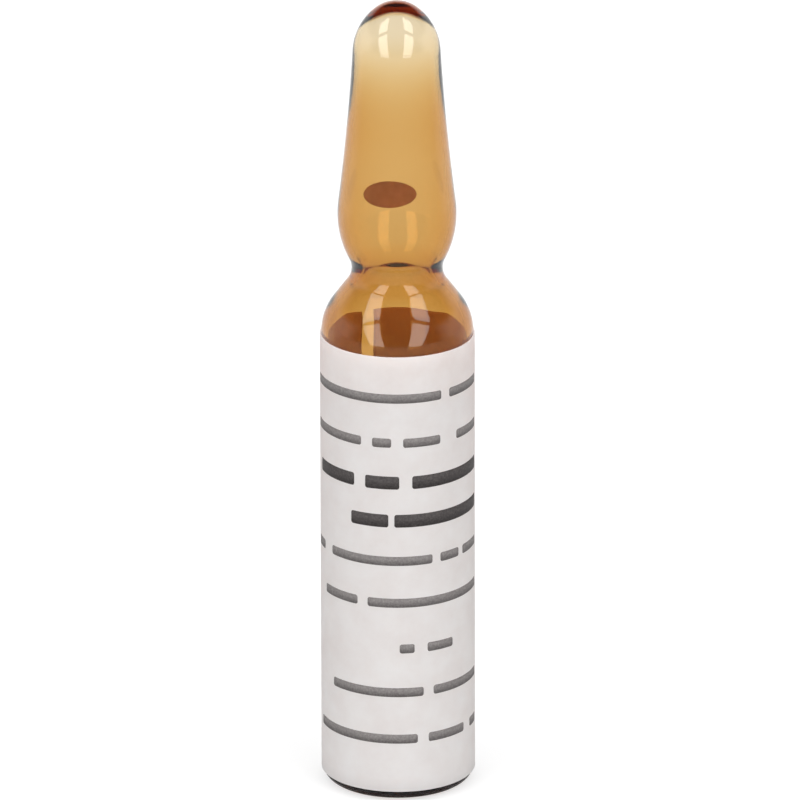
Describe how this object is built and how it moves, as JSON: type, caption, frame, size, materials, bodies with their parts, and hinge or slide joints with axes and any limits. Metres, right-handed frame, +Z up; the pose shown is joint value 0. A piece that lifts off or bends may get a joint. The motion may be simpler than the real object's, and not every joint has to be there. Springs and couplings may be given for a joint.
{
  "type": "ampoule",
  "caption": "Small sealed amber glass ampoule, filled and standing upright, with a paper label round its body and a narrow neck below a closed, tapered head.",
  "frame": {"origin": "centre of the base, on the surface that the ampoule stands on", "axes": "+Z up the ampoule's axis to the sealed tip, and +Y to the back, where the enamel dot and the opening cut are"},
  "size_m": [0.011, 0.011, 0.0581],
  "materials": {
    "amber_glass": "clear, fire polished",
    "paper": "matt white label paper",
    "enamel": "white fired enamel",
    "clear_liquid": "clear watery liquid"
  },
  "bodies": {
    "root": {"ampoule_glass": "amber_glass", "paper_label": "paper", "break_dot": "enamel", "water_fill": "clear_liquid"}
  },
  "joints": []
}
